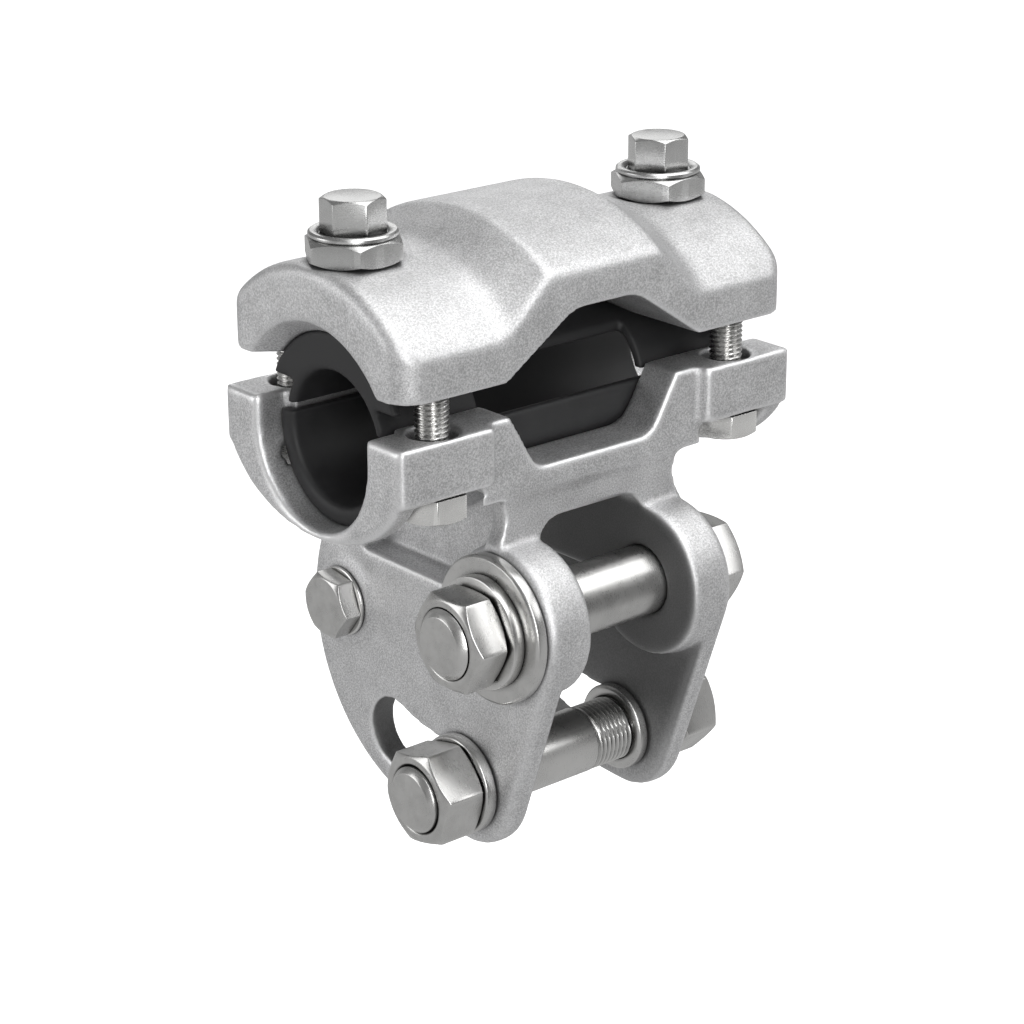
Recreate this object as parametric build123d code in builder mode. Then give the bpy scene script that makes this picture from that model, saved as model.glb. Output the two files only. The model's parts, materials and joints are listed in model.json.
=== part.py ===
from build123d import *
import os
from math import cos, pi, radians, sin, tan

# Trunnion suspension clamp, in millimetres.
# The line runs along X through the origin, the bolts of the yoke lie along X as well,
# -Y is the front, +Z is up.

# Line and elastomer inserts
line_d = 47.0
insert_wall = 3.5
insert_len = 158.0
insert_split = 3.0
lower_rim_z = 4.0
collar_t = 4.0
lower_collar_r = 30.0
upper_collar_r = 37.0
upper_collar_z = 16.0
insert_window = 74.0
insert_strip = 30.0
insert_edge = 2.5

# Suspension body: trough and lugs
body_len = 178.0
trough_wall = 6.0
half_width = 49.0
lug_top = 10.0
lug_bottom = -10.5
lug_len = 41.0
lug_corner = 2.5
flange_t = 9.0
flange_depth = 33.0
middle_half_width = 44.0
ledge_z = -19.5
window_top = 77.0
window_bottom = 52.0
window_z = -10.5
window_corner = 7.0

# Suspension body: neck, cheeks and plates
tongue_gap = 46.8
cheek_out = 42.5
plate_t = 11.1
neck_wall = 7.6
neck_half_width = 42.0
web_t = 8.0
waist_z = -27.0
waist_r = 14.0
waist_depth = 3.5
gap_roof_z = -31.0
gap_corner = 8.0
shoulder_z = -58.0
shoulder_h = 10.0
boss_r = 28.0
plate_y = -2.0
plate_z = -85.0
plate_r = 67.3
lobe_r = 24.0

# Keeper
keeper_len = 175.0
keeper_corner = 11.0
keeper_bottom_z = 24.0
pad_z = 61.5
pad_edge_z = 38.5
crown_z = 72.0
crown_edge_z = 57.0
crown_half = 25.0
pad_inner = 43.0
arch_z = 43.8
arch_half_top = 14.0
arch_half_foot = 43.5
arch_corner = 18.0
ridge_r = 5.0
valley_r = 16.0
rim_r = 5.0
mouth_land = 4.0
mouth_flare = 6.0

# Clamp bolts, M12 from below
bolt_inset = 22.0
bolt_y = 38.0
bolt_d = 12.0
bolt_thread_d = 11.9
bolt_plain = 18.0
bolt_af = 21.0
bolt_head_h = 9.0
bolt_hole_d = 13.5
lug_recess_d = 17.5
lug_recess_depth = 8.0
bolt_engagement = 12.5
thread_run = 1.6
head_room = 0.6

# Pressure screws and lock nuts
screw_d = 12.0
screw_room = 0.5
screw_af = 19.5
screw_head_h = 12.4
screw_turn = 17.0
spot_depth = 1.3
spot_d = 36.0
locknut_af = 30.5
locknut_h = 9.5
rim_wide = 3.0
rim_rise = 1.4

# Trunnion bolt, M24 thread on a 25 shank
trunnion_y = -42.0
trunnion_z = -64.5
trunnion_d = 25.0
trunnion_thread_d = 24.0
trunnion_fit = 0.06
trunnion_af = 32.0
trunnion_head_h = 14.0
head_washer_d = 44.0
head_washer_t = 2.0
flat_washer_d = 53.0
flat_washer_t = 5.0
spring_washer_d = 40.0
spring_washer_t = 4.5
spring_washer_slit = 1.6
trunnion_nut_h = 14.0

# Swing stud, M24, in the kidney slots
slot_y = -11.0
slot_z = -55.0
slot_r = 75.3
slot_start = -99.6
slot_sweep = 32.0
swing_d = 24.0
slot_clearance = 0.5
swing_af = 32.0
swing_nut_h = 17.7
swing_turn = 13.0
swing_washer_d = 36.0
swing_washer_t = 5.0
ring_nut_d = 32.0
ring_nut_t = 5.0

# Tie bolt, M14
tie_y = 44.0
tie_z = -80.8
tie_d = 14.0
tie_thread_d = 13.9
tie_hole_d = 15.0
tie_af = 22.0
tie_turn = -8.0
tie_head_h = 7.5
tie_pad_d = 32.0
tie_pad_h = 1.5
tie_washer_d = 26.0
tie_washer_t = 1.5
tie_nut_h = 12.0

# Shared fits and edges
thread_end = 2.0
thread_past = 2.5
thread_fit = 0.05
seat_fit = 0.1
side_play = 0.1
hex_sides = 6
hex_chamfer = 0.12
hex_slope = 30.0
washer_edge = 0.5
cast_edge = 3.0
plate_edge = 4.0
lug_edge = 2.0
touch = 0.01

# Worked out from the sizes above
line_r = line_d / 2
seat_r = line_r + insert_wall
trough_r = seat_r + trough_wall
body_half = body_len / 2
lug_in = body_half - lug_len
cheek_in = tongue_gap / 2
plate_in = cheek_out - plate_t
neck_half = cheek_in + neck_wall
upper_rim_z = lower_rim_z + insert_split
insert_half = insert_len / 2
mouth_x = insert_half - collar_t
keeper_half = keeper_len / 2
keeper_mouth_r = upper_collar_r + seat_fit
body_mouth_r = lower_collar_r + seat_fit
bolt_x = body_half - bolt_inset
screw_x = mouth_x - screw_d / 2 - screw_room
screw_seat_z = pad_z - spot_depth
keeper_hole_d = bolt_thread_d + 2 * thread_fit
hex_corner = 1 / cos(pi / hex_sides)
bolt_corner_r = hex_corner * bolt_af / 2
trunnion = (trunnion_y, trunnion_z)
tie = (tie_y, tie_z)
slot_centre = (slot_y, slot_z)
slot_width = swing_d + 2 * slot_clearance
tie_seat = cheek_out + tie_pad_h
beyond = 2 * body_len


def on_slot(angle):
    return (slot_y + slot_r * cos(radians(angle)), slot_z + slot_r * sin(radians(angle)))


swing = on_slot(slot_start)
kidney = CenterArc(slot_centre, slot_r, slot_start, slot_sweep)


def across(yz, x, toward=-1):
    """Plane square to X at a point of a YZ view, facing the near end (-X) or the far end (+X)."""
    return Plane(origin=(x, yz[0], yz[1]), x_dir=(0, 1, 0), z_dir=(toward, 0, 0))


def side_of(seat):
    """Plane through the axis of a seat, its second direction along that axis."""
    return Plane(origin=seat.origin, x_dir=seat.x_dir, z_dir=-seat.y_dir)


def write(piece, name):
    piece.part.label = name
    export_step(piece.part, f"parts/{name}.step")


def hex_blank(across_flats, height, both_ends=False):
    """Half outline of the turned blank that chamfers a hexagon's corners."""
    corner = hex_corner * across_flats / 2
    inset = hex_chamfer * across_flats
    rise = inset * tan(radians(hex_slope))
    top = [(corner, height - rise), (corner - inset, height), (0, height)]
    if both_ends:
        return [(0, 0), (corner - inset, 0), (corner, rise)] + top
    return [(0, 0), (corner, 0)] + top


def hex_bolt(seat, across_flats, head_h, shank_d, plain_len, thread_d, shank_len, turn=0):
    """Hexagon head standing on the seat, its shank running back through it."""
    step = (shank_d - thread_d) / 2
    with BuildPart() as bolt:
        with BuildSketch(seat):
            RegularPolygon(across_flats / 2, hex_sides, major_radius=False, rotation=turn)
        extrude(amount=head_h)
        with BuildSketch(side_of(seat)):
            with BuildLine():
                Polyline(*hex_blank(across_flats, head_h), close=True)
            make_face()
        revolve(axis=Axis(seat.origin, seat.z_dir), mode=Mode.INTERSECT)
        with BuildSketch(side_of(seat)):
            with BuildLine():
                Polyline(
                    (0, head_h / 2),
                    (shank_d / 2, head_h / 2),
                    (shank_d / 2, -plain_len),
                    (thread_d / 2, -plain_len - step),
                    (thread_d / 2, -shank_len + thread_end),
                    (thread_d / 2 - thread_end, -shank_len),
                    (0, -shank_len),
                    close=True,
                )
            make_face()
        revolve(axis=Axis(seat.origin, seat.z_dir))
    return bolt


def hex_nut(seat, across_flats, height, thread_d, rimmed=False, turn=0):
    """Hexagon nut on its seat, chamfered at both ends, or with a turned rim round its top."""
    rim_out = across_flats / 2 - washer_edge / 4
    with BuildPart() as nut:
        with BuildSketch(seat):
            RegularPolygon(across_flats / 2, hex_sides, major_radius=False, rotation=turn)
        extrude(amount=height)
        with BuildSketch(side_of(seat)):
            with BuildLine():
                Polyline(*hex_blank(across_flats, height, not rimmed), close=True)
            make_face()
        revolve(axis=Axis(seat.origin, seat.z_dir), mode=Mode.INTERSECT)
        if rimmed:
            with BuildSketch(side_of(seat)):
                with BuildLine():
                    Polyline(
                        (rim_out, height),
                        (rim_out, height - rim_rise),
                        (rim_out - rim_wide, height - rim_rise),
                        (rim_out - rim_wide, height),
                    )
                    ThreePointArc(
                        (rim_out - rim_wide, height),
                        (rim_out - rim_wide / 2, height + rim_rise),
                        (rim_out, height),
                    )
                make_face()
            revolve(axis=Axis(seat.origin, seat.z_dir))
        with BuildSketch(seat.offset(-height)):
            Circle(thread_d / 2 + thread_fit)
        extrude(amount=3 * height, mode=Mode.SUBTRACT)
    return nut


def washer(seat, outer_d, hole_d, thick):
    with BuildPart() as ring:
        with BuildSketch(seat):
            Circle(outer_d / 2)
            Circle(hole_d / 2, mode=Mode.SUBTRACT)
        extrude(amount=thick)
        outer = ring.edges().filter_by(GeomType.CIRCLE).group_by(SortBy.RADIUS)[-1]
        chamfer(outer, washer_edge)
    return ring


os.makedirs("parts", exist_ok=True)

# One cheek of the yoke, the near one: plate, strap and trunnion boss
with BuildPart() as cheek:
    with BuildSketch(Plane.YZ.offset(-cheek_out)):
        with Locations((plate_y, plate_z)):
            Circle(plate_r)
        with BuildLine():
            Polyline(
                (trunnion_y, shoulder_z),
                (beyond, shoulder_z),
                (beyond, -beyond),
                (swing[0], -beyond),
                swing,
                trunnion,
                close=True,
            )
        make_face(mode=Mode.INTERSECT)
        with Locations(trunnion):
            Circle(boss_r)
        with Locations(swing):
            Circle(lobe_r)
        make_hull()
        with Locations((0, shoulder_z)):
            Rectangle(beyond, beyond, align=(Align.CENTER, Align.MAX), mode=Mode.INTERSECT)
        with Locations(trunnion):
            Circle(boss_r)
    extrude(amount=plate_t)
    rims = cheek.faces().filter_by(Axis.X).edges()
    fillet(rims, plate_edge)
    with BuildSketch(Plane.YZ.offset(-cheek_out + plate_edge)):
        with Locations(trunnion):
            Circle(boss_r)
    extrude(amount=cheek_out - cheek_in - plate_edge)
    inner = cheek.faces().filter_by(Axis.X).sort_by(Axis.X)[-1]
    fillet(inner.edges(), cast_edge)
    with BuildSketch(Plane.YZ.offset(-tie_seat)):
        with Locations(tie):
            Circle(tie_pad_d / 2)
    extrude(amount=tie_pad_h + plate_t / 2)

# Suspension body, one casting
with BuildPart() as body:
    # Four bolt lugs
    with BuildSketch(Plane.XY.offset(lug_bottom)):
        with GridLocations(2 * body_half - lug_len, half_width, 2, 2):
            Rectangle(lug_len, half_width)
        fillet(vertices(), lug_corner)
    extrude(amount=lug_top - lug_bottom)

    # Flared end flanges
    with BuildSketch(Plane.YZ.offset(body_half - flange_t), Plane.YZ.offset(-body_half)):
        Ellipse(half_width, flange_depth)
        with Locations((0, lug_bottom)):
            Rectangle(beyond, beyond, align=(Align.CENTER, Align.MIN), mode=Mode.SUBTRACT)
    extrude(amount=flange_t)

    # Side walls between the lugs
    with BuildSketch(Plane.XY.offset(ledge_z)):
        Rectangle(2 * lug_in + 2 * lug_edge, 2 * middle_half_width)
    extrude(amount=lug_top - ledge_z)

    # Neck, with webs at the front and the back
    with BuildSketch(Plane.XY.offset(shoulder_z)):
        Rectangle(2 * neck_half, 2 * neck_half_width)
        with Locations((0, web_t / 2 - neck_half_width), (0, neck_half_width - web_t / 2)):
            Rectangle(2 * cheek_out, web_t)
    extrude(amount=ledge_z - shoulder_z)
    with BuildSketch(Plane.XZ):
        with Locations(*[(side * (cheek_out + waist_r - waist_depth), waist_z) for side in (-1, 1)]):
            Circle(waist_r)
    extrude(amount=neck_half_width + 1, both=True, mode=Mode.SUBTRACT)

    # Half-round trough with upright sides, whole along its length
    with BuildSketch(Plane.YZ):
        Circle(trough_r)
        with Locations((0, lug_top / 2)):
            Rectangle(2 * trough_r, lug_top)
        with Locations((0, lug_top)):
            Rectangle(beyond, beyond, align=(Align.CENTER, Align.MIN), mode=Mode.SUBTRACT)
    extrude(amount=body_half, both=True)

    # Shoulders that carry the cheeks
    with BuildSketch(Plane.XY.offset(shoulder_z - shoulder_h)):
        Rectangle(2 * cheek_out, 2 * neck_half_width)
    extrude(amount=shoulder_h)
    add(cheek.part)
    add(mirror(cheek.part, about=Plane.YZ, mode=Mode.PRIVATE))

    # Room for the tongue
    with BuildSketch(Plane.XZ):
        with Locations((0, gap_roof_z)):
            Rectangle(tongue_gap, beyond, align=(Align.CENTER, Align.MAX))
        fillet(vertices().group_by(Axis.Y)[-1], gap_corner)
    extrude(amount=beyond, both=True, mode=Mode.SUBTRACT)

    # Seat for the inserts, wider at its two mouths
    with BuildSketch(Plane.YZ):
        Circle(seat_r)
        Rectangle(2 * seat_r, beyond, align=(Align.CENTER, Align.MIN))
    extrude(amount=body_half + 1, both=True, mode=Mode.SUBTRACT)
    with BuildSketch(Plane.YZ.offset(mouth_x), Plane.YZ.offset(-body_half - 1)):
        Circle(body_mouth_r)
        Rectangle(2 * body_mouth_r, beyond, align=(Align.CENTER, Align.MIN))
    extrude(amount=body_half + 1 - mouth_x, mode=Mode.SUBTRACT)

    # Windows through the front and back walls
    with BuildSketch(Plane.XZ):
        with BuildLine():
            Polyline(
                (-window_bottom / 2, window_z),
                (window_bottom / 2, window_z),
                (window_top / 2, lug_top + 1),
                (-window_top / 2, lug_top + 1),
                close=True,
            )
        make_face()
        fillet(vertices().group_by(Axis.Y)[0], window_corner)
    extrude(amount=beyond, both=True, mode=Mode.SUBTRACT)

    # Clamp bolt holes, with a recess on top and room for the heads below
    with Locations(Plane.XY.offset(lug_top)):
        with GridLocations(2 * bolt_x, 2 * bolt_y, 2, 2):
            CounterBoreHole(bolt_hole_d / 2, lug_recess_d / 2, lug_recess_depth, depth=lug_top - lug_bottom + 1)
    with BuildSketch(Plane.XY.offset(lug_bottom)):
        with GridLocations(2 * bolt_x, 2 * bolt_y, 2, 2):
            Rectangle(2 * (bolt_corner_r + head_room), bolt_af + 2 * head_room)
    extrude(amount=shoulder_z, mode=Mode.SUBTRACT)

    # Bores and kidney slots through the cheeks
    with BuildSketch(Plane.YZ.offset(-tie_seat - 1)):
        with Locations(trunnion):
            Circle(trunnion_d / 2 + trunnion_fit)
        with Locations(tie):
            Circle(tie_hole_d / 2)
        SlotArc(kidney, slot_width)
    extrude(amount=2 * (tie_seat + 1), mode=Mode.SUBTRACT)

write(body, "suspension_body")


def keeper_section(x, crest, edge):
    """Cross-section of the keeper at one place along the line: flat foot, arched back."""
    with BuildSketch(Plane.YZ.offset(x)) as section:
        with BuildLine():
            ThreePointArc((-half_width, edge), (0, crest), (half_width, edge))
            Polyline(
                (half_width, edge),
                (half_width, keeper_bottom_z),
                (-half_width, keeper_bottom_z),
                (-half_width, edge),
            )
        make_face()
    return section.sketch


# Keeper, one casting
with BuildPart() as keeper:
    # Two pads with a raised crown between them
    stations = [
        keeper_section(-keeper_half, pad_z, pad_edge_z),
        keeper_section(-pad_inner, pad_z, pad_edge_z),
        keeper_section(-crown_half, crown_z, crown_edge_z),
        keeper_section(crown_half, crown_z, crown_edge_z),
        keeper_section(pad_inner, pad_z, pad_edge_z),
        keeper_section(keeper_half, pad_z, pad_edge_z),
    ]
    loft(stations, ruled=True)
    for place, radius in ((pad_inner, valley_r), (crown_half, ridge_r)):
        arcs = keeper.edges().filter_by(GeomType.CIRCLE)
        fillet(arcs.filter_by(lambda e: abs(abs(e.center().X) - place) < touch), radius)

    # Rounded corners in plan, then one soft rim all the way round the top
    corners = keeper.edges().filter_by(Axis.Z).filter_by(lambda e: abs(e.center().X) > keeper_half - touch)
    fillet(corners, keeper_corner)
    upright = keeper.faces().filter_by(lambda f: abs(f.normal_at().Z) < touch)
    rim = upright.edges().filter_by(Axis.Z, reverse=True).filter_by(lambda e: e.center().Z > pad_edge_z - 1)
    fillet(rim, rim_r)

    # Arch between the feet
    with BuildSketch(Plane.XZ):
        with BuildLine():
            Polyline(
                (-arch_half_foot, keeper_bottom_z),
                (-arch_half_top, arch_z),
                (arch_half_top, arch_z),
                (arch_half_foot, keeper_bottom_z),
                (arch_half_foot, 0),
                (-arch_half_foot, 0),
                close=True,
            )
        make_face()
        fillet(vertices().group_by(Axis.Y)[-1], arch_corner)
    extrude(amount=beyond, both=True, mode=Mode.SUBTRACT)

    # Groove for the insert, with a wider mouth for its collar that flares at each end
    with BuildSketch(Plane.YZ):
        Circle(seat_r)
    extrude(amount=keeper_len, both=True, mode=Mode.SUBTRACT)
    with BuildSketch(Plane.XZ):
        with BuildLine():
            Polyline(
                (mouth_x, 0),
                (mouth_x, keeper_mouth_r),
                (mouth_x + mouth_land, keeper_mouth_r),
                (keeper_half + 1, keeper_mouth_r + mouth_flare),
                (keeper_half + 1, 0),
                close=True,
            )
        make_face()
        mirror(about=Plane.YZ)
    revolve(axis=Axis.X, mode=Mode.SUBTRACT)

    # Flats and holes for the pressure screws, blind threaded holes for the clamp bolts
    with BuildSketch(Plane.XY.offset(screw_seat_z)):
        with Locations((-screw_x, 0), (screw_x, 0)):
            Circle(spot_d / 2)
    extrude(amount=crown_z, mode=Mode.SUBTRACT)
    with BuildSketch(Plane.XY):
        with Locations((-screw_x, 0), (screw_x, 0)):
            Circle(screw_d / 2 + thread_fit)
    extrude(amount=beyond, mode=Mode.SUBTRACT)
    with BuildSketch(Plane.XY.offset(keeper_bottom_z)):
        with GridLocations(2 * bolt_x, 2 * bolt_y, 2, 2):
            Circle(keeper_hole_d / 2)
    extrude(amount=bolt_engagement + thread_run, mode=Mode.SUBTRACT)

write(keeper, "keeper")

# Lower insert, a trough of elastomer with a collar at each end
with BuildPart() as lower_insert:
    with BuildSketch(Plane.YZ.offset(-insert_half)):
        Circle(seat_r)
    extrude(amount=insert_len)
    with BuildSketch(Plane.YZ.offset(-insert_half), Plane.YZ.offset(mouth_x)):
        Circle(lower_collar_r)
    extrude(amount=collar_t)
    with BuildSketch(Plane.YZ.offset(-insert_half)):
        Circle(line_r)
    extrude(amount=insert_len, mode=Mode.SUBTRACT)
    bore_ends = lower_insert.edges().filter_by(GeomType.CIRCLE).group_by(SortBy.RADIUS)[0]
    fillet(bore_ends, insert_edge)
    with BuildSketch(Plane.XY.offset(lower_rim_z)):
        Rectangle(beyond, beyond)
    extrude(amount=beyond, mode=Mode.SUBTRACT)

write(lower_insert, "lower_insert")

# Upper insert, with taller collars and a narrow strip under the arch
with BuildPart() as upper_insert:
    with BuildSketch(Plane.YZ.offset(-insert_half)):
        Circle(seat_r)
    extrude(amount=insert_len)
    with BuildSketch(Plane.YZ.offset(-insert_half), Plane.YZ.offset(mouth_x)):
        Circle(upper_collar_r)
        with Locations((0, upper_collar_z)):
            Rectangle(beyond, beyond, align=(Align.CENTER, Align.MIN), mode=Mode.INTERSECT)
    extrude(amount=collar_t)
    with BuildSketch(Plane.YZ.offset(-insert_half)):
        Circle(line_r)
    extrude(amount=insert_len, mode=Mode.SUBTRACT)
    bore_ends = upper_insert.edges().filter_by(GeomType.CIRCLE).group_by(SortBy.RADIUS)[0]
    fillet(bore_ends, insert_edge)
    with BuildSketch(Plane.XY.offset(upper_rim_z)):
        Rectangle(beyond, beyond)
    extrude(amount=-beyond, mode=Mode.SUBTRACT)
    with BuildSketch(Plane.XY):
        with Locations((0, insert_strip / 2), (0, -insert_strip / 2 - beyond)):
            Rectangle(insert_window, beyond, align=(Align.CENTER, Align.MIN))
    extrude(amount=beyond, mode=Mode.SUBTRACT)

write(upper_insert, "upper_insert")

# Clamp bolts, their heads under the lugs
clamp_spots = [(x, y) for x in (-bolt_x, bolt_x) for y in (-bolt_y, bolt_y)]
bolt_reach = keeper_bottom_z + bolt_engagement - lug_bottom
for count, (x, y) in enumerate(clamp_spots, start=1):
    seat = Plane(origin=(x, y, lug_bottom), x_dir=(1, 0, 0), z_dir=(0, 0, -1))
    clamp_bolt = hex_bolt(seat, bolt_af, bolt_head_h, bolt_d, bolt_plain, bolt_thread_d, bolt_reach)
    write(clamp_bolt, f"clamp_bolt_{count}")

# Pressure screws and their lock nuts on top of the keeper
for count, x in enumerate((-screw_x, screw_x), start=1):
    nut_seat = Plane(origin=(x, 0, screw_seat_z), x_dir=(1, 0, 0), z_dir=(0, 0, 1))
    head_seat = nut_seat.offset(locknut_h)
    screw_reach = screw_seat_z + locknut_h - seat_r - seat_fit
    turn = screw_turn if x < 0 else 0
    screw = hex_bolt(head_seat, screw_af, screw_head_h, screw_d, locknut_h, screw_d - seat_fit, screw_reach, turn)
    write(screw, f"pressure_screw_{count}")
    lock_nut = hex_nut(nut_seat, locknut_af, locknut_h, screw_d, rimmed=True)
    write(lock_nut, f"lock_nut_{count}")

# Trunnion bolt across the yoke, its head on the far side
far_face = cheek_out + side_play
near_face = -far_face
head_seat_x = far_face + head_washer_t
spring_x = near_face - flat_washer_t
nut_x = spring_x - spring_washer_t
trunnion_end = nut_x - trunnion_nut_h - thread_past
trunnion_bolt = hex_bolt(
    across(trunnion, head_seat_x, 1),
    trunnion_af,
    trunnion_head_h,
    trunnion_d,
    head_seat_x + cheek_out,
    trunnion_thread_d,
    head_seat_x - trunnion_end,
)
write(trunnion_bolt, "trunnion_bolt")
trunnion_hole_d = trunnion_thread_d + 2 * thread_fit
shank_hole_d = trunnion_d + 2 * thread_fit
head_washer = washer(across(trunnion, far_face, 1), head_washer_d, shank_hole_d, head_washer_t)
write(head_washer, "trunnion_head_washer")
flat_washer = washer(across(trunnion, near_face), flat_washer_d, shank_hole_d, flat_washer_t)
write(flat_washer, "trunnion_flat_washer")
trunnion_nut = hex_nut(across(trunnion, nut_x), trunnion_af, trunnion_nut_h, trunnion_thread_d)
write(trunnion_nut, "trunnion_nut")

# Split spring washer under the trunnion nut
with BuildPart() as spring_washer:
    with BuildSketch(across(trunnion, spring_x)):
        Circle(spring_washer_d / 2)
        Circle(trunnion_hole_d / 2, mode=Mode.SUBTRACT)
    extrude(amount=spring_washer_t)
    chamfer(spring_washer.edges().filter_by(GeomType.CIRCLE).group_by(SortBy.RADIUS)[-1], washer_edge)
    with BuildSketch(across(trunnion, spring_x)):
        Rectangle(spring_washer_d, spring_washer_slit, align=(Align.MIN, Align.CENTER))
    extrude(amount=spring_washer_t, mode=Mode.SUBTRACT)

write(spring_washer, "trunnion_spring_washer")

# Swing stud through the kidney slots, the same washer and nut at both ends
swing_nut_x = far_face + swing_washer_t
swing_end = swing_nut_x + swing_nut_h + thread_past
with BuildPart() as swing_stud:
    with BuildSketch(across(swing, swing_end)):
        Circle(swing_d / 2)
    extrude(amount=2 * swing_end)
    chamfer(swing_stud.edges().filter_by(GeomType.CIRCLE), thread_end)

write(swing_stud, "swing_stud")
swing_hole_d = swing_d + 2 * thread_fit
for name, toward in (("near", -1), ("far", 1)):
    plain_washer = washer(across(swing, toward * far_face, toward), swing_washer_d, swing_hole_d, swing_washer_t)
    write(plain_washer, f"swing_{name}_washer")
    nut_seat = across(swing, toward * swing_nut_x, toward)
    write(hex_nut(nut_seat, swing_af, swing_nut_h, swing_d, turn=swing_turn), f"swing_{name}_nut")
ring_nut = washer(across(swing, plate_in - side_play), ring_nut_d, swing_hole_d, ring_nut_t)
write(ring_nut, "swing_ring_nut")

# Tie bolt through both plates
tie_head_x = tie_seat + tie_washer_t
tie_reach = 2 * tie_head_x + tie_nut_h + thread_past
tie_bolt = hex_bolt(
    across(tie, -tie_head_x),
    tie_af,
    tie_head_h,
    tie_d,
    2 * tie_seat,
    tie_thread_d,
    tie_reach,
    tie_turn,
)
write(tie_bolt, "tie_bolt")
tie_washer_hole = tie_d + 2 * thread_fit
write(washer(across(tie, -tie_seat), tie_washer_d, tie_washer_hole, tie_washer_t), "tie_near_washer")
write(washer(across(tie, tie_seat, 1), tie_washer_d, tie_washer_hole, tie_washer_t), "tie_far_washer")
write(hex_nut(across(tie, tie_head_x, 1), tie_af, tie_nut_h, tie_thread_d), "tie_nut")
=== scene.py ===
# %% [markdown]
# # A trunnion suspension clamp, dressed for its picture
# A clamp of this kind hangs from a large bolt through its yoke. What it carries lies between two
# rubber inserts, in a body and a keeper of cast aluminium. The CAD model is loaded first. It says where
# each piece is and how large, so this lesson is about surfaces, fine forms and light.

# %% Load the CAD frame
import bmesh
import bpy
import json
from math import ceil, cos, pi, radians, sin, tan
from mathutils import Matrix, Vector


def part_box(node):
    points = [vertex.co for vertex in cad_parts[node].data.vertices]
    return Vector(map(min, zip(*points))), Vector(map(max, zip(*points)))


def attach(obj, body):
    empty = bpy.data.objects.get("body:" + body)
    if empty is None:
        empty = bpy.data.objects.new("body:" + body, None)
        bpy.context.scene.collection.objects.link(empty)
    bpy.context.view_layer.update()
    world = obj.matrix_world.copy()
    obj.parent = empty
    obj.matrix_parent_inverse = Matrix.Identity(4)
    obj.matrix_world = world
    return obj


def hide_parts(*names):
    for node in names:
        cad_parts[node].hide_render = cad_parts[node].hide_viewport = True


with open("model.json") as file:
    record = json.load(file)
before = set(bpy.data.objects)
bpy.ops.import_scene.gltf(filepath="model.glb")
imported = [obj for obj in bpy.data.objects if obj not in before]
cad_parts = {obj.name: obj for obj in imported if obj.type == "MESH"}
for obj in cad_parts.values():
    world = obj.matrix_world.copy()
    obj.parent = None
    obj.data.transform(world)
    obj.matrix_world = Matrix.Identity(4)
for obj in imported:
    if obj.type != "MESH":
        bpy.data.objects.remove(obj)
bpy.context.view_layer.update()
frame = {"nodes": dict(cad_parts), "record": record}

MM = 0.001
rides_on = {node: body for body, nodes in frame["record"]["behaviour"]["bodies"].items() for node in nodes}
print("CAD nodes:", len(frame["nodes"]), "on bodies:", sorted(set(rides_on.values())))

# %% [markdown]
# ## Places from the record
# The record that comes with the CAD model gives the axes of the joints and the centres of the mounts.
# Typing them here again would work until somebody moves a bolt, so they are looked up instead.


# %% Axes of the yoke
def place_of(entries, name):
    """Where a joint or a mount of the record is, in metres."""
    return Vector(next(entry["pos_m"] for entry in entries if entry["name"] == name))


def middle_of(node):
    """Centre of a CAD node's box."""
    low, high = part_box(node)
    return (Vector(low) + Vector(high)) / 2


TRUNNION = place_of(frame["record"]["behaviour"]["joints"], "trunnion_turn")
SLOT_CENTRE = place_of(frame["record"]["behaviour"]["joints"], "stud_swing")
SWING = place_of(frame["record"]["mounts"], "swing_eye")
TIE = middle_of("tie_nut")
SLOT_RADIUS = (SWING - SLOT_CENTRE).length
print("slots of", round(SLOT_RADIUS / MM, 1), "mm about", [round(v / MM, 1) for v in SLOT_CENTRE])

# %% [markdown]
# ## The camera
# The camera comes first, because it decides which details are seen. A long lens from about a metre
# away keeps the two bolt rows almost parallel, where a short one close by would make the near end
# loom. It looks down by twenty degrees from the near left.

# %% Camera
VIEW_YAW = radians(49.66)
VIEW_PITCH = radians(20.36)
VIEW_ROLL = radians(-0.19)
VIEW_DEPTH = 0.9789
FOCAL_PX = 2781
PICTURE_PX = 1024
FILM_WIDTH = 36
CENTRE_RIGHT = 0.28 * MM
CENTRE_UP = -42.2 * MM

forward = Vector((cos(VIEW_YAW) * cos(VIEW_PITCH), sin(VIEW_YAW) * cos(VIEW_PITCH), -sin(VIEW_PITCH)))
level_right = Vector((sin(VIEW_YAW), -cos(VIEW_YAW), 0))
level_up = level_right.cross(forward)
right = cos(VIEW_ROLL) * level_right + sin(VIEW_ROLL) * level_up
up = cos(VIEW_ROLL) * level_up - sin(VIEW_ROLL) * level_right

lens = bpy.data.cameras.new("studio_camera")
lens.sensor_width = FILM_WIDTH
lens.lens = FILM_WIDTH * FOCAL_PX / PICTURE_PX
lens.clip_start = 0.01
camera = bpy.data.objects.new("studio_camera", lens)
place = Matrix((right, up, -forward)).transposed().to_4x4()
place.translation = -VIEW_DEPTH * forward - CENTRE_RIGHT * right + CENTRE_UP * up
camera.matrix_world = place
bpy.context.scene.collection.objects.link(camera)
bpy.context.scene.camera = camera
print("lens", round(lens.lens, 1), "mm, camera at", [round(v, 3) for v in camera.matrix_world.translation])

# %% [markdown]
# ## Writing shaders as sums
# A finish is easier to read as a formula than as a drawing of nodes. This class wraps one output of a
# node. Adding or multiplying two of them makes the Math node, and `make` makes any other node. Colours
# go through a Mix node and places through Vector Math, because a Math node has one channel only.


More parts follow.
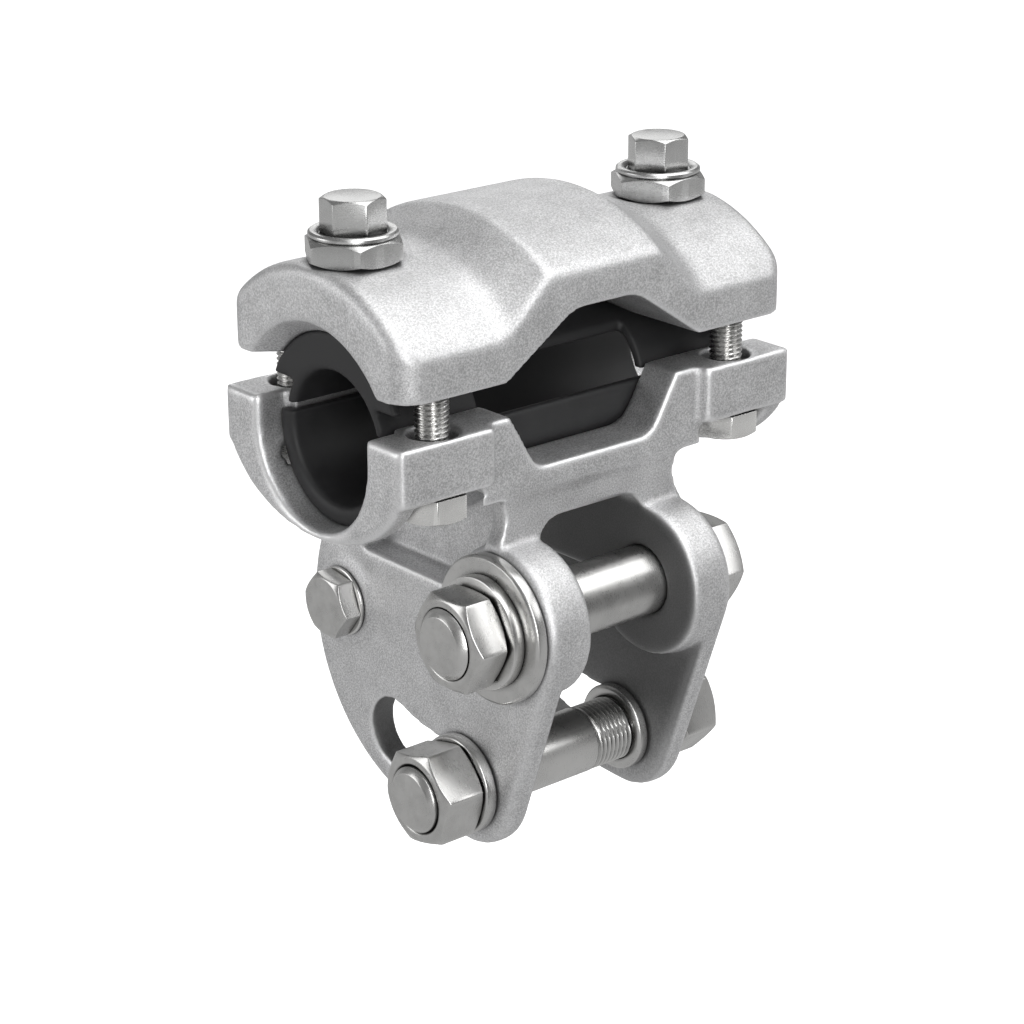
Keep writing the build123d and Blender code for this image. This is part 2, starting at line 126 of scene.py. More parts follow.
# %% A value that changes over a surface
class Signal:
    def __init__(self, tree, socket=None):
        self.tree = tree
        self.socket = socket

    def make(self, kind, settings=None, values=None, output=0):
        """A new node of any kind: its settings first, then the values or links of its sockets."""
        node = self.tree.nodes.new(kind)
        for name, value in (settings or {}).items():
            setattr(node, name, value)
        for name, value in (values or {}).items():
            if isinstance(value, Signal):
                self.tree.links.new(value.socket, node.inputs[name])
            else:
                node.inputs[name].default_value = value
        return Signal(self.tree, node.outputs[output])

    def maths(self, operation, first, second=0.0):
        return self.make("ShaderNodeMath", {"operation": operation}, {0: first, 1: second})

    def __add__(self, other):
        return self.maths("ADD", self, other)

    def __sub__(self, other):
        return self.maths("SUBTRACT", self, other)

    def __rsub__(self, other):
        return self.maths("SUBTRACT", other, self)

    def __mul__(self, other):
        return self.maths("MULTIPLY", self, other)

    def __abs__(self):
        return self.maths("ABSOLUTE", self)

    def vector(self, operation, other=(0, 0, 0), output=0):
        """Vector Math on this value and another."""
        return self.make("ShaderNodeVectorMath", {"operation": operation}, {0: self, 1: other}, output)

    def along(self, axis):
        """One component of a vector: 0 is x, 1 is y and 2 is z."""
        return self.make("ShaderNodeSeparateXYZ", {}, {"Vector": self}, axis)

    def between(self, low, high):
        """0 below low, 1 above high, and smooth from one to the other."""
        limits = {"Value": self, "From Min": low, "From Max": high}
        return self.make("ShaderNodeMapRange", {"interpolation_type": "SMOOTHSTEP"}, limits)

    def blend(self, off, on):
        """One colour where the value is 0, another where it is 1."""
        colours = {0: self, 6: off, 7: on}
        return self.make("ShaderNodeMix", {"data_type": "RGBA"}, colours, output=2)

    __radd__ = __add__
    __rmul__ = __mul__


# %% A material with one shader
def finish_named(name, **constants):
    """A new material. Gives the sheet to build signals on and a function that wires them in."""
    material = bpy.data.materials.new(name)
    material.use_nodes = True
    tree = material.node_tree
    shader = tree.nodes["Principled BSDF"]
    for socket, value in constants.items():
        shader.inputs[socket.replace("_", " ")].default_value = value

    def wire(**signals):
        for socket, signal in signals.items():
            tree.links.new(signal.socket, shader.inputs[socket.replace("_", " ")])
        return material

    return Signal(tree), wire


# %% Textures and relief in object space
def surface_point(sheet, stretch=(1, 1, 1)):
    return sheet.make("ShaderNodeTexCoord", output="Object").vector("MULTIPLY", stretch)


def cloudy(sheet, point, size, detail, roughness, offset=0.0):
    """Noise whose lumps are about `size` metres across. The offset takes another part of the same noise."""
    moved = point.vector("ADD", (offset, offset, offset))
    values = {"Vector": moved, "Scale": 1 / size, "Detail": detail, "Roughness": roughness}
    return sheet.make("ShaderNodeTexNoise", {}, values)


def relief(sheet, height, depth, strength, under=None):
    """Bump of that depth in metres, on top of another relief where one is given."""
    values = {"Height": height, "Distance": depth, "Strength": strength}
    if under:
        values["Normal"] = under
    return sheet.make("ShaderNodeBump", {}, values)


# %% [markdown]
# ## Painted shade in corners
# Every corner and the seat of every washer gets a thin dark line of painted shade, where light is shut
# out. It could be painted by hand, but that would slide as soon as a piece changed. Ambient
# Occlusion finds those places by itself, because it measures how much of the sky near a point is shut
# out by what stands round it.

# %% Crevices
SHADE_REACH = 4 * MM
SHUT = 0.30
OPEN = 0.85


def crevice_shade(sheet):
    """Mask for painted shade: 1 where another surface is close by, as in corners and beside washers, and 0
    in the open.
    """
    openness = sheet.make("ShaderNodeAmbientOcclusion", {"samples": 8}, {"Distance": SHADE_REACH}, output=1)
    return 1 - openness.between(SHUT, OPEN)


# How far the painted shade reaches out of a corner.
print("dirt reaches", SHADE_REACH / MM, "mm out of a corner")

# %% [markdown]
# ## Painted shade inside the yoke
# The castings are tumbled bright. The gap between the two cheeks and the walls of the slots are given a
# painted shade: a dark colour in place of the shadow that falls there. A second material on
# those faces would end in a hard edge. A mask worked out from the place and the direction of the
# surface fades out instead, and it is lighter low down. It takes the faces that look towards the middle of
# the gap, below its roof, and the walls that lie half a slot's width from the middle of the slot.

# %% Painted shade on the faces inside the yoke
GAP_ROOF = 31 * MM
ROOF_FADE = 6 * MM
CHEEK_INSIDE = 23.4 * MM
LIT_FROM = 105 * MM
LIT_TO = 150 * MM
SLOT_TOP = 105 * MM
SLOT_HALF = 13.1 * MM
SLOT_FRONT = -37 * MM
SLOT_REAR = 32 * MM


def yoke_shade_mask(sheet):
    """1 on the walls of the slots and of the gap between the cheeks: the mask of the painted shade there.
    """
    spot = surface_point(sheet)
    facing = sheet.make("ShaderNodeTexCoord", output="Normal")
    depth = 0 - spot.along(2)
    rearward = spot.along(1)

    lit = depth.between(LIT_FROM, LIT_TO) * 0.6
    under_roof = depth.between(GAP_ROOF, GAP_ROOF + ROOF_FADE)
    inward = 0 - spot.along(0) * facing.along(0)
    gap_wall = inward.between(0.4 * CHEEK_INSIDE, CHEEK_INSIDE) * under_roof * (1 - lit)

    from_centre = spot.vector("SUBTRACT", SLOT_CENTRE).vector("MULTIPLY", (0, 1, 1))
    off_line = abs(from_centre.vector("LENGTH", output=1) - SLOT_RADIUS)
    in_slot = 1 - off_line.between(SLOT_HALF - 0.5 * MM, SLOT_HALF + 0.5 * MM)
    low_enough = depth.between(SLOT_TOP - 5 * MM, SLOT_TOP + 5 * MM)
    behind_rim = rearward.between(SLOT_FRONT - MM, SLOT_FRONT + MM)
    before_rim = 1 - rearward.between(SLOT_REAR - MM, SLOT_REAR + MM)
    upright = 1 - abs(facing.along(0)).between(0.5, 0.9)
    slot_wall = in_slot * low_enough * behind_rim * before_rim * upright
    return sheet.maths("MAXIMUM", gap_wall, slot_wall)


# The painted shade in the gap begins this far below the bore's centre.
print("raw faces lie", GAP_ROOF / MM, "mm and more below the bore's centre")

# %% [markdown]
# ## Cast aluminium
# The body and the keeper are sand cast and then tumbled. Close up the skin is a fine silver grain, with
# lighter and darker patches a centimetre wide. A photograph of metal could be wrapped round the castings,
# but it would show seams and always the same spots. Here the grain is noise in the base colour and in the
# bump. Geometry's Pointiness finds the edges: every rounded edge is made brighter, partly as wear and
# partly as a painted highlight, and creases and corners get a painted shade.

# %% Cast aluminium
GRAIN = 0.6 * MM
SPECKLE = 0.4 * MM
LUMP = 3.2 * MM
PATCH = 12 * MM
ROUNDED_OVER = (0.505, 0.55)
FOLDED_IN = (0.44, 0.497)
# Colour of the painted shade inside the yoke.
GAP_SHADE = (0.17, 0.17, 0.17)


def silver(level):
    """A grey with a touch of blue."""
    return (level, level, level + 0.005, 1)


def toned(colour, tone):
    """A colour made darker or lighter."""
    return tuple(tone * channel for channel in colour[:3]) + (1,)


def cast_aluminium(name, tone, offset, hidden=None):
    sheet, wire = finish_named(name, Metallic=1.0, IOR=1.6)
    point = surface_point(sheet)
    grain = cloudy(sheet, point, GRAIN, 4.0, 0.65, offset)
    speckle = cloudy(sheet, point, SPECKLE, 2.0, 0.5, offset + 3)
    patches = cloudy(sheet, point, PATCH, 4.0, 0.6, offset + 7)
    lumps = cloudy(sheet, point, LUMP, 3.0, 0.5, offset + 11)
    edge = sheet.make("ShaderNodeNewGeometry", output="Pointiness")
    rub_and_highlight = edge.between(*ROUNDED_OVER)
    sunk_shade = 1 - edge.between(*FOLDED_IN)

    dull = toned(silver(0.38), tone)
    clean = toned(silver(0.94), tone)
    rub_highlight = toned(silver(0.98), tone)
    # The colour of the painted shade in creases and corners.
    corner_shade = toned(silver(0.30), tone)
    skin = (grain.between(0.34, 0.68) * 0.62 + patches * 0.5).blend(dull, clean)
    # Rounded edges are lighter: partly wear, partly a painted highlight.
    skin = (rub_and_highlight * 0.85).blend(skin, rub_highlight)
    # Creases get a painted shade.
    skin = (sunk_shade * 0.6).blend(skin, corner_shade)
    # Corners and washer seats get a painted shade from Ambient Occlusion.
    skin = (crevice_shade(sheet) * 0.8).blend(skin, corner_shade)
    gloss = 0.42 + patches * 0.12 + speckle * 0.12 - rub_and_highlight * 0.10
    if hidden:
        shade = hidden(sheet)
        # Painted shade on the faces inside the yoke.
        skin = (shade * 0.85).blend(skin, toned(GAP_SHADE, tone))
        gloss = gloss + shade * 0.12

    bumps = relief(sheet, lumps, 0.10 * MM, 0.5)
    bumps = relief(sheet, grain, 0.13 * MM, 0.75, bumps)
    bumps = relief(sheet, speckle, 0.06 * MM, 0.5, bumps)
    return wire(Base_Color=skin, Roughness=gloss, Normal=bumps)


BODY_CASTING = cast_aluminium("cast_aluminium_body", 0.96, 0.0, yoke_shade_mask)
KEEPER_CASTING = cast_aluminium("cast_aluminium_keeper", 0.94, 0.5)
for casting in (BODY_CASTING, KEEPER_CASTING):
    print(casting.name, "has", len(casting.node_tree.nodes), "nodes")

# %% [markdown]
# ## Plated steel
# The bolts and nuts are zinc plated steel. They are smoother than the castings, a little warm in
# colour, and marked along the way they were turned or drawn. Noise that is squeezed along one axis
# gives those marks, so the function takes the axis that the marks repeat along. The broken edges of the
# hexagons, where Pointiness is high, get a painted highlight, and the places where pieces meet get a
# painted shade.

# %% Plated steel
UPRIGHT = (1, 1, 8)
LEVEL = (8, 1, 1)
TURNING_MARK = 2.2 * MM
FINE_MARK = 0.7 * MM
STAIN = 7 * MM


def plated_steel(name, stretch, colour, base_gloss, offset=0.0):
    sheet, wire = finish_named(name, Metallic=1.0, IOR=2.0)
    point = surface_point(sheet)
    marks = cloudy(sheet, surface_point(sheet, stretch), TURNING_MARK, 3.0, 0.6, offset)
    fine = cloudy(sheet, point, FINE_MARK, 3.0, 0.6, offset + 5)
    stains = cloudy(sheet, point, STAIN, 2.0, 0.5, offset + 9)
    edge = sheet.make("ShaderNodeNewGeometry", output="Pointiness").between(0.51, 0.56)

    metal = (stains.between(0.3, 0.7) * 0.4 + marks * 0.6).blend(toned(colour, 0.80), toned(colour, 1.12))
    # Painted highlight on the broken edges.
    metal = (edge * 0.7).blend(metal, toned(colour, 1.35))
    # Painted shade where pieces meet, from Ambient Occlusion.
    metal = (crevice_shade(sheet) * 0.9).blend(metal, toned(colour, 0.22))
    gloss = base_gloss + stains * 0.06 + marks * 0.12 + fine * 0.04
    bumps = relief(sheet, marks, 0.020 * MM, 0.5)
    bumps = relief(sheet, fine, 0.012 * MM, 0.5, bumps)
    return wire(Base_Color=metal, Roughness=gloss, Normal=bumps)


UPRIGHT_STEEL = plated_steel("plated_steel_upright", UPRIGHT, (0.55, 0.55, 0.545), 0.17)
# A lighter copy of the same plated steel, a painted highlight for the bright faces of the clamp bolts under
# the lugs.
BRIGHTENED_CLAMP_STEEL = plated_steel("plated_steel_clamp_brightened", UPRIGHT, (0.80, 0.795, 0.78), 0.16, 4.0)
LEVEL_STEEL = plated_steel("plated_steel_level", LEVEL, (0.58, 0.577, 0.567), 0.18, 2.0)
print("steels:", UPRIGHT_STEEL.name, BRIGHTENED_CLAMP_STEEL.name, LEVEL_STEEL.name)

# %% [markdown]
# ## Rubber
# The inserts are moulded rubber. One flat black would look like a hole in the picture. Real rubber has
# a faint bloom, a haze of wax on its skin, so slow noise makes it a little greyer and duller in places.


# %% Rubber
def moulded_rubber(name):
    sheet, wire = finish_named(name, Metallic=0.0, IOR=1.5)
    point = surface_point(sheet)
    fine = cloudy(sheet, point, 0.6 * MM, 3.0, 0.6)
    bloom = cloudy(sheet, point, 9 * MM, 3.0, 0.6, 4.0)
    black = bloom.blend((0.008, 0.008, 0.009, 1), (0.026, 0.026, 0.027, 1))
    gloss = 0.46 + bloom * 0.22
    return wire(Base_Color=black, Roughness=gloss, Normal=relief(sheet, fine, 0.03 * MM, 0.5))


RUBBER = moulded_rubber("moulded_rubber")
print("inserts:", RUBBER.name)

# %% [markdown]
# ## Turning a CAD solid into a casting
# A casting has no sharp edge anywhere. A bevel would round only the edges that it can follow, and it
# fails where many of them meet. So a copy of the CAD solid is remeshed into small even quads, and a few
# rounds of smoothing pull every edge into a soft curve, as the sand mould does.


# %% Putting a piece in place of its CAD node
def shown(piece, node, slot, material):
    """Puts a finished mesh in place of its CAD node."""
    piece.data.materials.clear()
    piece.data.materials.append(material)
    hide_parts(node)
    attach(piece, rides_on[node])
    return piece


def apply_modifiers(piece):
    graph = bpy.context.evaluated_depsgraph_get()
    mesh = bpy.data.meshes.new_from_object(piece.evaluated_get(graph))
    piece.modifiers.clear()
    piece.data = mesh


# %% Soft edges
def softened(node, quad, rounds, slot, material):
    """A copy of a CAD node in quads of that size, with every edge rounded over."""
    piece = bpy.data.objects.new(node + "_skin", frame["nodes"][node].data.copy())
    bpy.context.scene.collection.objects.link(piece)
    remesh = piece.modifiers.new("even_quads", "REMESH")
    remesh.mode = "VOXEL"
    remesh.voxel_size = quad
    smooth = piece.modifiers.new("soft_edges", "SMOOTH")
    smooth.factor = 0.5
    smooth.iterations = rounds
    apply_modifiers(piece)
    piece.data.shade_smooth()
    print(piece.name, "faces", len(piece.data.polygons))
    return shown(piece, node, slot, material)


# %% The two castings and the two inserts
softened("suspension_body", 1.35 * MM, 6, "body_casting", BODY_CASTING)
softened("keeper", 1.1 * MM, 4, "keeper_casting", KEEPER_CASTING)
softened("lower_insert", 0.9 * MM, 2, "insert_rubber", RUBBER)
softened("upper_insert", 0.9 * MM, 2, "insert_rubber", RUBBER)

# %% [markdown]
# ## Turned pieces
# Bolts, nuts and washers are all made on a lathe or a press around one axis. Blender's Screw modifier
# turns one fixed profile, which is enough for a washer but not for a hexagon. Here each piece is a row
# of profiles, one for every few degrees, joined by faces. A profile may change with its angle, so one
# small function also gives chamfered corners and real screw threads.

# %% Profiles round an axis
STEPS = 96
SAME_POINT = 0.001 * MM
BEVEL_FROM = radians(24)
SHARP_FROM = radians(32)


def spun(name, axis, profile, bevel=0.0, steps=STEPS, slit=0.0):
    """A closed solid: profile(angle) lists (radius, height) points. A slit leaves a gap of that angle."""
    mesh = bmesh.new()
    columns = []
    for step in range(steps):
        angle = slit / 2 + (2 * pi - slit) * step / (steps - 1 if slit else steps)
        column = [mesh.verts.new((r * cos(angle), r * sin(angle), z)) for r, z in profile(angle)]
        columns.append(column)
    rows = len(columns[0])
    for step in range(steps - 1 if slit else steps):
        here = columns[step]
        there = columns[(step + 1) % steps]
        for row in range(rows):
            after = (row + 1) % rows
            mesh.faces.new((here[row], there[row], there[after], here[after]))
    if slit:
        mesh.faces.new(columns[0])
        mesh.faces.new(columns[-1])
    bmesh.ops.remove_doubles(mesh, verts=mesh.verts, dist=SAME_POINT)
    bmesh.ops.dissolve_degenerate(mesh, edges=mesh.edges, dist=SAME_POINT / 10)
    bmesh.ops.recalc_face_normals(mesh, faces=mesh.faces)
    mesh.transform(axis)
    data = bpy.data.meshes.new(name)
    mesh.to_mesh(data)
    mesh.free()
    piece = bpy.data.objects.new(name, data)
    bpy.context.scene.collection.objects.link(piece)
    if bevel:
        edges = piece.modifiers.new("broken_edges", "BEVEL")
        edges.width = bevel
        edges.segments = 2
        edges.limit_method = "ANGLE"
        edges.angle_limit = BEVEL_FROM
        apply_modifiers(piece)
    piece.data.shade_smooth()
    piece.data.set_sharp_from_angle(angle=SHARP_FROM)
    return piece


# %% Which way an axis points
def standing(x, y, z, turn=0.0):
    """Axis that points up from a seat."""
    return Matrix.Translation((x, y, z)) @ Matrix.Rotation(turn, 4, "Z")


def hanging(x, y, z, turn=0.0):
    """Axis that points down from a seat."""
    return Matrix.Translation((x, y, z)) @ Matrix.Rotation(pi, 4, "X") @ Matrix.Rotation(turn, 4, "Z")


def lying(centre, x, toward, turn=0.0):
    """Axis through a centre, from a seat at x, towards the near end (-1) or the far end (1)."""
    rear_first = Matrix(((0, 0, toward), (1, 0, 0), (0, toward, 0))).to_4x4()
    return Matrix.Translation((x, centre.y, centre.z)) @ rear_first @ Matrix.Rotation(turn, 4, "Z")


# %% Hexagons
CHAMFER = tan(radians(30))
FACE_OF_FLATS = 0.475


def hex_radius(angle, flats):
    """How far out the side of a hexagon is, in the direction of an angle."""
    from_flat = angle % (pi / 3) - pi / 6
    return flats / 2 / cos(from_flat)


def hex_sides(angle, flats, low, high, low_chamfered):
    """Outline of a hexagon whose corners a cone has cut, from its foot to its top."""
    side = hex_radius(angle, flats)
    face = FACE_OF_FLATS * flats
    drop = (side - face) * CHAMFER
    foot = [(face, low), (side, low + drop)] if low_chamfered else [(side, low)]
    return foot + [(side, high - drop), (face, high)]


print("a hexagon of 32 mm is", round(2 * hex_radius(0, 32), 1), "mm over its corners")

# %% Threads
ROWS_A_PITCH = 8
THREAD_STEPS = 72


def thread(angle, low, high, across, pitch):
    """Screw thread of a shank, between two heights, as (radius, height) points."""
    depth = 0.6 * pitch
    count = ceil((high - low) / pitch * ROWS_A_PITCH)
    points = []
    for row in range(count + 1):
        z = low + (high - low) * row / count
        phase = (z / pitch - angle / (2 * pi)) % 1.0
        valley = abs(2 * phase - 1)
        run_out = min(1.0, (z - low) / pitch, (high - z) / (0.6 * pitch))
        points.append((across / 2 - depth * valley * max(run_out, 0.0), z))
    return points


def threaded(name, axis, low, high, across, pitch):
    """A sleeve with a real screw thread round it, to join to a shank that is as thin as its root."""
    inside = across / 2 - 0.8 * pitch

    def sleeve(angle):
        return [(inside, low)] + thread(angle, low, high, across, pitch) + [(inside, high)]

    return spun(name, axis, sleeve, steps=THREAD_STEPS)


def joined(piece, other):
    """Two meshes as one piece."""
    with bpy.context.temp_override(active_object=piece, selected_editable_objects=[piece, other]):
        bpy.ops.object.join()
    return piece


# %% [markdown]
# ## Clamp bolts
# Four M12 bolts come up through the lugs of the body and draw the keeper down. Their heads sit under
# the lugs, and a short length of thread shows between the two castings. A thread could be a bump on a
# plain shank, but its outline would then be straight, and here it stands against the light.


# %% Bolts
def bolt(node, axis, slot, material, flats, head, shank, plain, reach, pitch, thread_to=None):
    """A hexagon bolt with its seat at height 0, its head above and its shank below."""
    tip = 0.1 * shank
    root = shank / 2 - 0.62 * pitch
    thread_to = reach - tip if thread_to is None else thread_to

    def profile(angle):
        tail = [(0, -reach), (shank / 2 - tip, -reach), (shank / 2, -reach + tip), (shank / 2, -thread_to)]
        waist = [(root, -thread_to), (root, -plain)]
        neck = [(shank / 2, -plain), (shank / 2, 0)]
        return tail + waist + neck + hex_sides(angle, flats, 0, head, False) + [(0, head)]

    piece = spun(node + "_turned", axis, profile, 0.22 * MM)
    screw = threaded(node + "_thread", axis, -thread_to, -plain, shank - 0.1 * MM, pitch)
    print(node, "is", round((head + reach) / MM, 1), "mm long")
    return shown(joined(piece, screw), node, slot, material)


# %% The four clamp bolts
LUG_UNDERSIDE = -10.5 * MM
M12 = {"shank": 12 * MM, "pitch": 1.75 * MM}
for number, turn in enumerate((1.5, -1, 0.5, 2), start=1):
    node = f"clamp_bolt_{number}"
    spot = middle_of(node)
    axis = hanging(spot.x, spot.y, LUG_UNDERSIDE, radians(turn))
    sizes = {"flats": 21 * MM, "head": 9 * MM, "plain": 18 * MM, "reach": 47 * MM}
    bolt(node, axis, "clamp_bolt_steel", BRIGHTENED_CLAMP_STEEL, **sizes, **M12)

# %% [markdown]
# ## Pressure screws and lock nuts
# Two screws pass through the top of the keeper and press on the upper insert. A large nut locks each
# one. A rounded bead, like a captive washer, stands round the top of the nut and catches the light. It
# is part of the nut's own profile, as it is pressed from the same steel.

# %% Pressure screws and lock nuts
SCREW_SEAT = 60.2 * MM
LOCK_NUT_H = 9.5 * MM
LOCK_NUT_FLATS = 30.5 * MM
LOCK_NUT_BORE = 6.1 * MM
BEAD_DROP = 0.8
BEAD = [
    (14.5, -BEAD_DROP), (15.2, -0.2), (15.1, 0.7), (14.4, 1.3),
    (13.6, 1.4), (12.7, 1.2), (11.9, 0.7), (11.4, 0.1),
]


def lock_nut_profile(angle):
    bead = [(r * MM, LOCK_NUT_H + z * MM) for r, z in BEAD]
    sides = hex_sides(angle, LOCK_NUT_FLATS, 0, LOCK_NUT_H - BEAD_DROP * MM, True)
    return [(LOCK_NUT_BORE, 0)] + sides + bead + [(LOCK_NUT_BORE, LOCK_NUT_H)]


for number, turn in ((1, radians(17)), (2, 0)):
    node = f"lock_nut_{number}"
    spot = middle_of(node)
    lock_nut = spun(node + "_turned", standing(spot.x, spot.y, SCREW_SEAT), lock_nut_profile, 0.3 * MM)
    shown(lock_nut, node, "screw_steel", UPRIGHT_STEEL)
    axis = standing(spot.x, spot.y, SCREW_SEAT + LOCK_NUT_H, turn)
    sizes = {"flats": 19.5 * MM, "head": 12.4 * MM, "plain": LOCK_NUT_H, "reach": 42.6 * MM}
    bolt(f"pressure_screw_{number}", axis, "screw_steel", UPRIGHT_STEEL, **sizes, **M12)

# %% [markdown]
# ## Nuts and washers of the yoke
# The bolts of the yoke lie along the clamp. Nuts are the same hexagon, chamfered at both ends, round a
# bore with a small countersink. A washer is punched from plate, so its rim is slightly rounded. The
# CAD solids have the same outlines but crisp rims, and it is the soft rims that glint.

# %% Nuts and washers
YOKE_FINISH = "yoke_bolt_steel"


def nut(node, axis, flats, height, bore):
    sink = 0.9 * MM

    def profile(angle):
        hole = [(bore + sink, height), (bore, height - sink), (bore, sink), (bore + sink, 0)]
        return hex_sides(angle, flats, 0, height, True) + hole

    return shown(spun(node + "_turned", axis, profile, 0.35 * MM), node, YOKE_FINISH, LEVEL_STEEL)


def flat_washer(node, axis, outer, bore, thick, soft):
    """A washer of those radii and that thickness. Soft is how far its rim is rounded."""
    def profile(angle):
        rim = [(outer - soft, 0), (outer, soft), (outer, thick - soft), (outer - soft, thick)]
        return [(bore, 0)] + rim + [(bore, thick)]

    return shown(spun(node + "_turned", axis, profile, 0.3 * MM), node, YOKE_FINISH, LEVEL_STEEL)


M24_FLATS = 32 * MM
M24_BORE = 12.15 * MM
CHEEK_FACE = 42.6 * MM
WASHER = 5 * MM
print("the yoke is", round(2 * CHEEK_FACE / MM, 1), "mm over its bosses")

# %% [markdown]
# ## The trunnion bolt
# The large bolt carries the whole clamp. Its bare shank shows between the cheeks, and the near end has
# a thick flat washer, a split spring washer and the nut. The end of the bolt stands just proud. Each
# piece is turned where it sits, so a seat is the only place that has to be known.

# %% Trunnion bolt, washers and nut
TRUNNION_BORE = 12.55 * MM
HEAD_WASHER = 2 * MM
SPRING_WASHER = 4.5 * MM
SLIT = radians(7)


def spring_profile(angle):
    outer = 20 * MM
    bore = 12.3 * MM
    return [(bore, 0), (outer, 0), (outer, SPRING_WASHER), (bore, SPRING_WASHER)]


trunnion_sizes = {
    "flats": M24_FLATS, "head": 14 * MM, "shank": 25 * MM, "plain": 87.1 * MM,
    "reach": 113.2 * MM, "pitch": 3 * MM, "thread_to": 110.7 * MM,
}
under_head = lying(TRUNNION, CHEEK_FACE + HEAD_WASHER, 1)
bolt("trunnion_bolt", under_head, YOKE_FINISH, LEVEL_STEEL, **trunnion_sizes)
far_cheek = lying(TRUNNION, CHEEK_FACE, 1)
near_cheek = lying(TRUNNION, -CHEEK_FACE, -1)
flat_washer("trunnion_head_washer", far_cheek, 22 * MM, TRUNNION_BORE, HEAD_WASHER, 0.5 * MM)
flat_washer("trunnion_flat_washer", near_cheek, 26.5 * MM, TRUNNION_BORE, WASHER, 0.9 * MM)
spring_seat = CHEEK_FACE + WASHER
nut_seat = spring_seat + SPRING_WASHER
nut("trunnion_nut", lying(TRUNNION, -nut_seat, -1), M24_FLATS, 14 * MM, M24_BORE)
spring_axis = lying(TRUNNION, -spring_seat, -1)
spring = spun("trunnion_spring_washer_turned", spring_axis, spring_profile, 0.5 * MM, slit=SLIT)
shown(spring, "trunnion_spring_washer", YOKE_FINISH, LEVEL_STEEL)

# %% [markdown]
# ## The swing stud
# The lower stud sits in the curved slots and lets the clamp tilt. Both ends have a washer and a nut. A
# round nut rests against the inside of the far plate, and the thread it runs on shows beside it. The
# stud is one profile with a waist, and the thread is a sleeve joined to it, as on the bolts.

# %% Swing stud, washers and nuts
STUD_RADIUS = 12 * MM
STUD_BORE = 12.05 * MM
STUD_END = 67.8 * MM
THREAD_FROM = 10 * MM
THREAD_TO = 27 * MM
RING_SEAT = 31.3 * MM
SWING_TURN = radians(13)


def stud_profile(angle):
    tip = 1.9 * MM
    root = 10.4 * MM
    near = [(0, -STUD_END), (STUD_RADIUS - tip, -STUD_END), (STUD_RADIUS, tip - STUD_END)]
    waist = [(STUD_RADIUS, THREAD_FROM), (root, THREAD_FROM), (root, THREAD_TO), (STUD_RADIUS, THREAD_TO)]
    far = [(STUD_RADIUS, STUD_END - tip), (STUD_RADIUS - tip, STUD_END), (0, STUD_END)]
    return near + waist + far


stud = spun("swing_stud_turned", lying(SWING, 0, 1), stud_profile, 0.3 * MM)
across = 2 * STUD_RADIUS - 0.1 * MM
screw = threaded("swing_stud_thread", lying(SWING, 0, 1), THREAD_FROM, THREAD_TO, across, 2 * MM)
shown(joined(stud, screw), "swing_stud", YOKE_FINISH, LEVEL_STEEL)
for name, toward in (("near", -1), ("far", 1)):
    washer_axis = lying(SWING, toward * CHEEK_FACE, toward)
    flat_washer(f"swing_{name}_washer", washer_axis, 18 * MM, STUD_BORE, WASHER, 0.7 * MM)
    nut_axis = lying(SWING, toward * (CHEEK_FACE + WASHER), toward, SWING_TURN)
    nut(f"swing_{name}_nut", nut_axis, M24_FLATS, 17.7 * MM, M24_BORE)
flat_washer("swing_ring_nut", lying(SWING, RING_SEAT, -1), 16 * MM, STUD_BORE, WASHER, MM)
print("the stud is", round(2 * STUD_END / MM, 1), "mm long")

# %% [markdown]
# ## The tie bolt
# A smaller bolt behind the trunnion ties the two plates together. It is the same bolt, nut and washer
# in other sizes, so there is nothing new to make. Its head is turned a little, since nobody lines up
# hexagons by eye.

# %% Tie bolt, washers and nut
PLATE_FACE = 44 * MM
TIE_WASHER = 1.5 * MM
TIE_TURN = radians(-8)
TIE_FLATS = 22 * MM
tie_seat = PLATE_FACE + TIE_WASHER
tie_sizes = {
    "flats": TIE_FLATS, "head": 7.5 * MM, "shank": 14 * MM,
    "plain": 89 * MM, "reach": 105.5 * MM, "pitch": 2 * MM,
}
bolt("tie_bolt", lying(TIE, -tie_seat, -1, TIE_TURN), YOKE_FINISH, LEVEL_STEEL, **tie_sizes)
for name, toward in (("near", -1), ("far", 1)):
    washer_axis = lying(TIE, toward * PLATE_FACE, toward)
    flat_washer(f"tie_{name}_washer", washer_axis, 13 * MM, 7.05 * MM, TIE_WASHER, 0.4 * MM)
nut("tie_nut", lying(TIE, tie_seat, 1), TIE_FLATS, 12 * MM, 7.1 * MM)

# %% [markdown]
# ## Lights
# Polished metal shows the room more than its own colour, so the panels are placed for what they draw
# on the bolts. A large one overhead lights the tops. A tall narrow one in front gives each hexagon one
# bright facet, and small ones on the right, the left and at the rear pick out the edges.

# %% Panels
LOOK_AT = Vector((0, 0, -30 * MM))


def panel(name, azimuth, elevation, distance, width, height, watts):
    """A rectangular light that looks at the clamp from that direction in degrees, sizes in metres."""
    light = bpy.data.lights.new(name, "AREA")
    light.shape = "RECTANGLE"
    light.size = width
    light.size_y = height
    light.energy = watts
    lamp = bpy.data.objects.new(name, light)
    turn = radians(azimuth)
    rise = radians(elevation)
    aim = Vector((cos(rise) * cos(turn), cos(rise) * sin(turn), sin(rise)))
    lamp.location = distance * aim + LOOK_AT
    lamp.rotation_euler = aim.to_track_quat("Z", "Y").to_euler()
    bpy.context.scene.collection.objects.link(lamp)


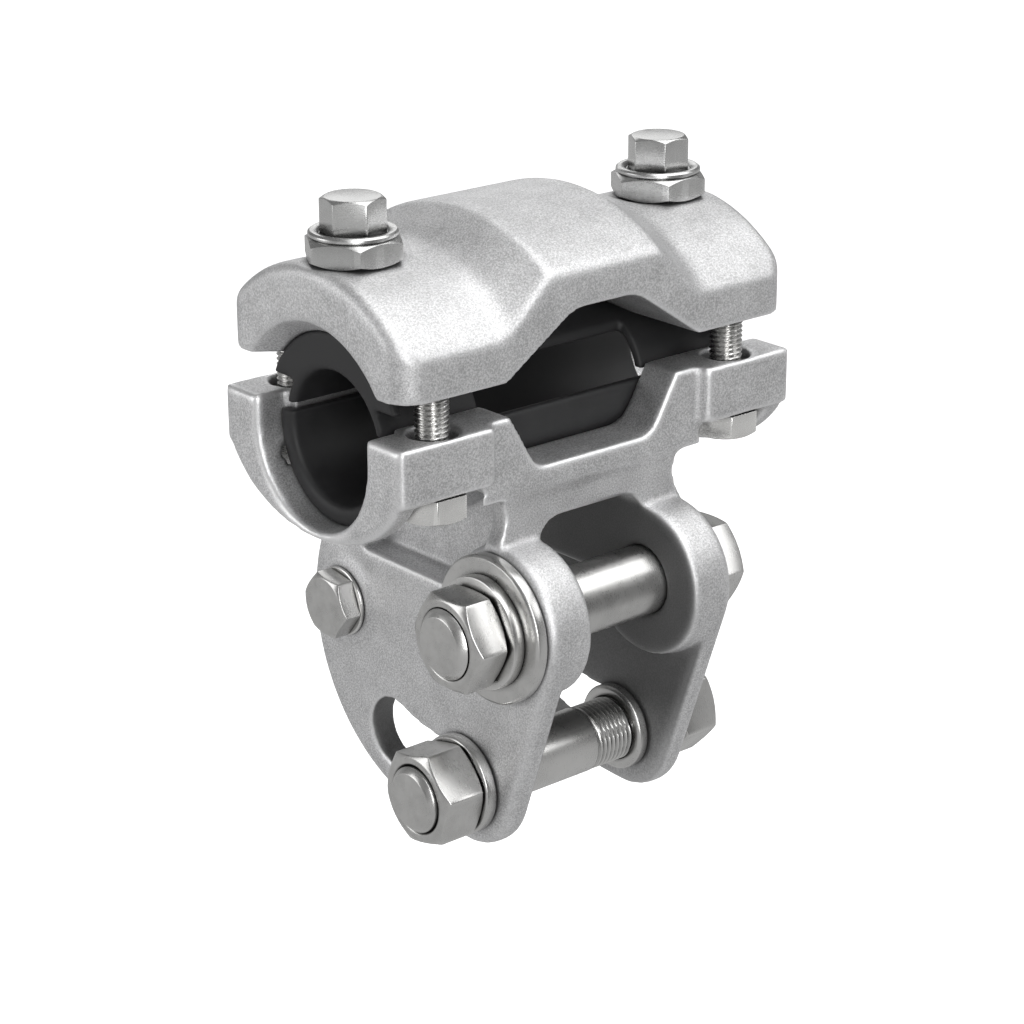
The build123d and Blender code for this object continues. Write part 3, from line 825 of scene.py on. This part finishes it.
panel("overhead_panel", -50, 68, 1.3, 1.5, 1.3, 14)
panel("front_panel", -120, 18, 1.5, 0.5, 1.2, 10)
panel("right_panel", -47, 26, 1.2, 0.5, 0.4, 1.5)
panel("left_panel", 150, 16, 1.4, 0.7, 0.9, 4)
panel("rear_panel", 58, 30, 1.3, 0.9, 0.6, 2)
print("panels:", len(bpy.data.lights))

# %% [markdown]
# ## Floor
# The picture has a plain white ground with no shadow. A white floor under these lights would come out
# grey, and lighting it to white would burn out the clamp. So the floor glows evenly by itself, and it
# is hidden from reflections and from light that bounces, so that its glow never reaches the clamp.

# %% Floor
FLOOR_Z = -0.55
FLOOR_HALF = 14.0
WHITE = (1, 1, 1, 1)
glow = {"Emission_Color": WHITE, "Emission_Strength": 1.0}
sheet, wire = finish_named("pale_floor", Base_Color=(0.93, 0.93, 0.93, 1), Roughness=0.9, **glow)
floor_mesh = bpy.data.meshes.new("floor")
corners = [(x * FLOOR_HALF, y * FLOOR_HALF, FLOOR_Z) for x, y in ((-1, -1), (1, -1), (1, 1), (-1, 1))]
floor_mesh.from_pydata(corners, [], [(0, 1, 2, 3)])
floor = bpy.data.objects.new("floor", floor_mesh)
bpy.context.scene.collection.objects.link(floor)
floor.data.materials.append(wire())
floor.visible_glossy = False
floor.visible_diffuse = False
print("floor", 2 * FLOOR_HALF, "m wide,", -FLOOR_Z, "m down")

# %% [markdown]
# ## The room
# What the metal mirrors is the world: walls that are light near the ground and darker towards the
# ceiling, which rounds off every form without one lamp more. Straight ahead of the clamp's front the
# room is darker still, and that gives the flat faces of the bolts their contrast.

# %% Room
LOW_WALL = (0.53, 0.53, 0.53, 1)
HIGH_WALL = (0.24, 0.24, 0.24, 1)
DARK_WALL = (0.10, 0.10, 0.10, 1)

world = bpy.data.worlds.new("studio_room")
world.use_nodes = True
way = Signal(world.node_tree).make("ShaderNodeTexCoord", output="Generated")
walls = way.along(2).between(-0.2, 0.35).blend(LOW_WALL, HIGH_WALL)
toward_front = 0 - way.along(1)
walls = (toward_front.between(0.80, 0.95) * 0.7).blend(walls, DARK_WALL)
background = world.node_tree.nodes["Background"]
world.node_tree.links.new(walls.socket, background.inputs["Color"])
background.inputs["Strength"].default_value = 1.0
bpy.context.scene.world = world
bpy.context.scene.view_settings.view_transform = "Standard"
print("room:", world.name)
